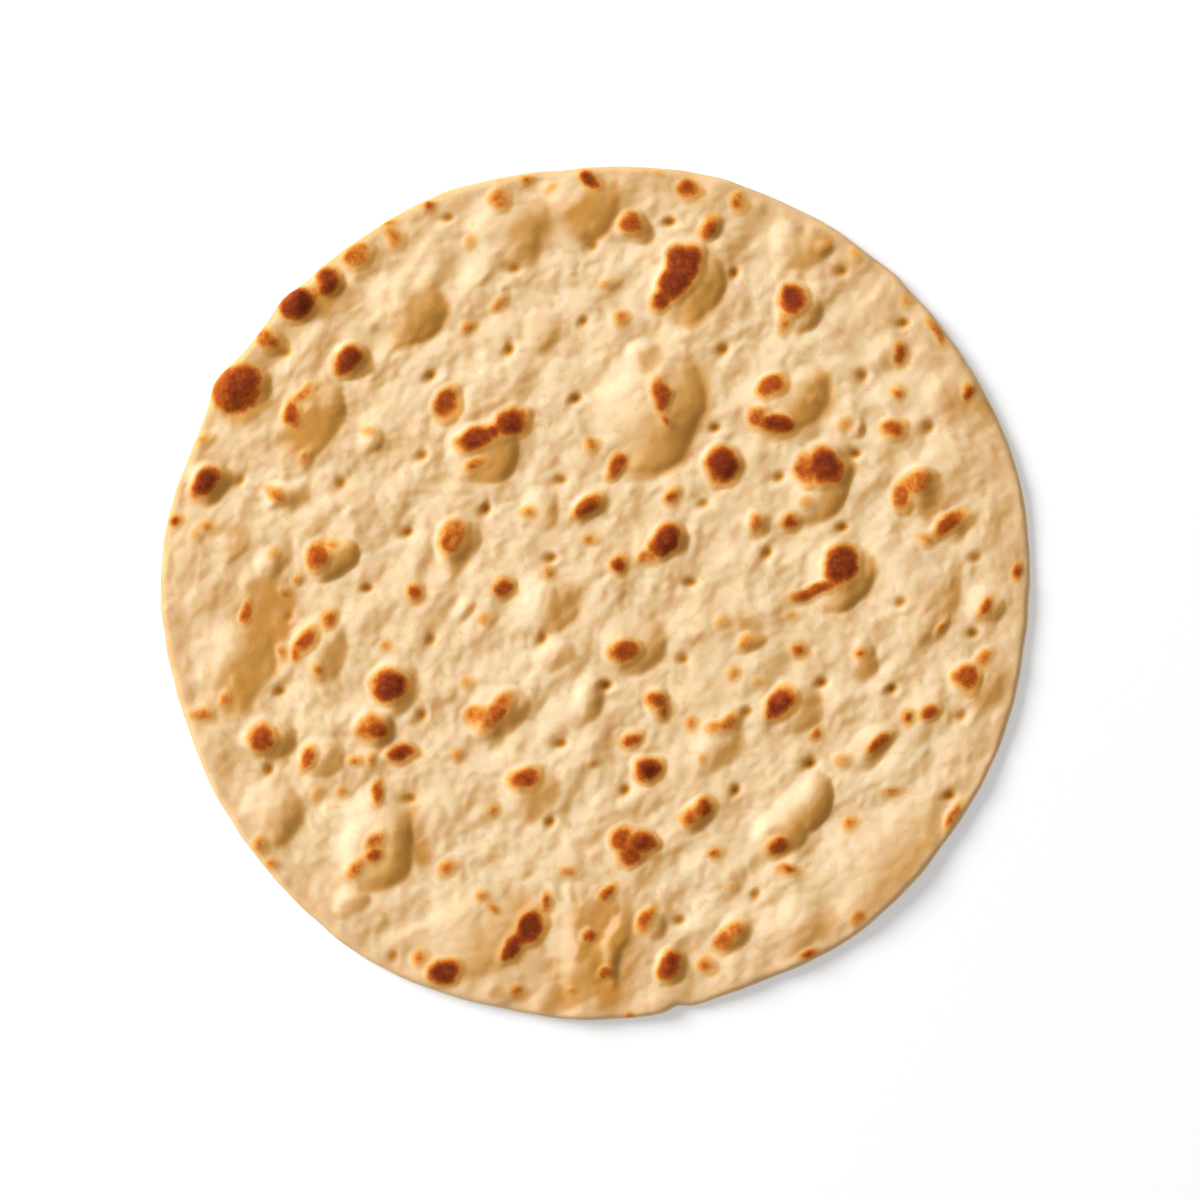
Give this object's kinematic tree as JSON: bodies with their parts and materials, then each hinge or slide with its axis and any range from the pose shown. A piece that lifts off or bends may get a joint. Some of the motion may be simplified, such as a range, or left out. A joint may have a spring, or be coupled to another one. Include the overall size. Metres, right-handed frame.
{
  "type": "pizza crust",
  "caption": "Thin round ready-baked pizza crust, bare and uncut, with a blistered, docked and toasted top, an uneven rim and a flat underside.",
  "frame": {"origin": "middle of the flat underside, on the table", "axes": "+Z up through the blistered top, +X to the right and +Y up in a view from straight above"},
  "size_m": [0.3005, 0.295, 0.0104],
  "materials": {
    "crust": "matt baked dough, cream to golden, with small toasted and charred spots"
  },
  "bodies": {
    "root": {"crust": "crust"}
  },
  "joints": []
}
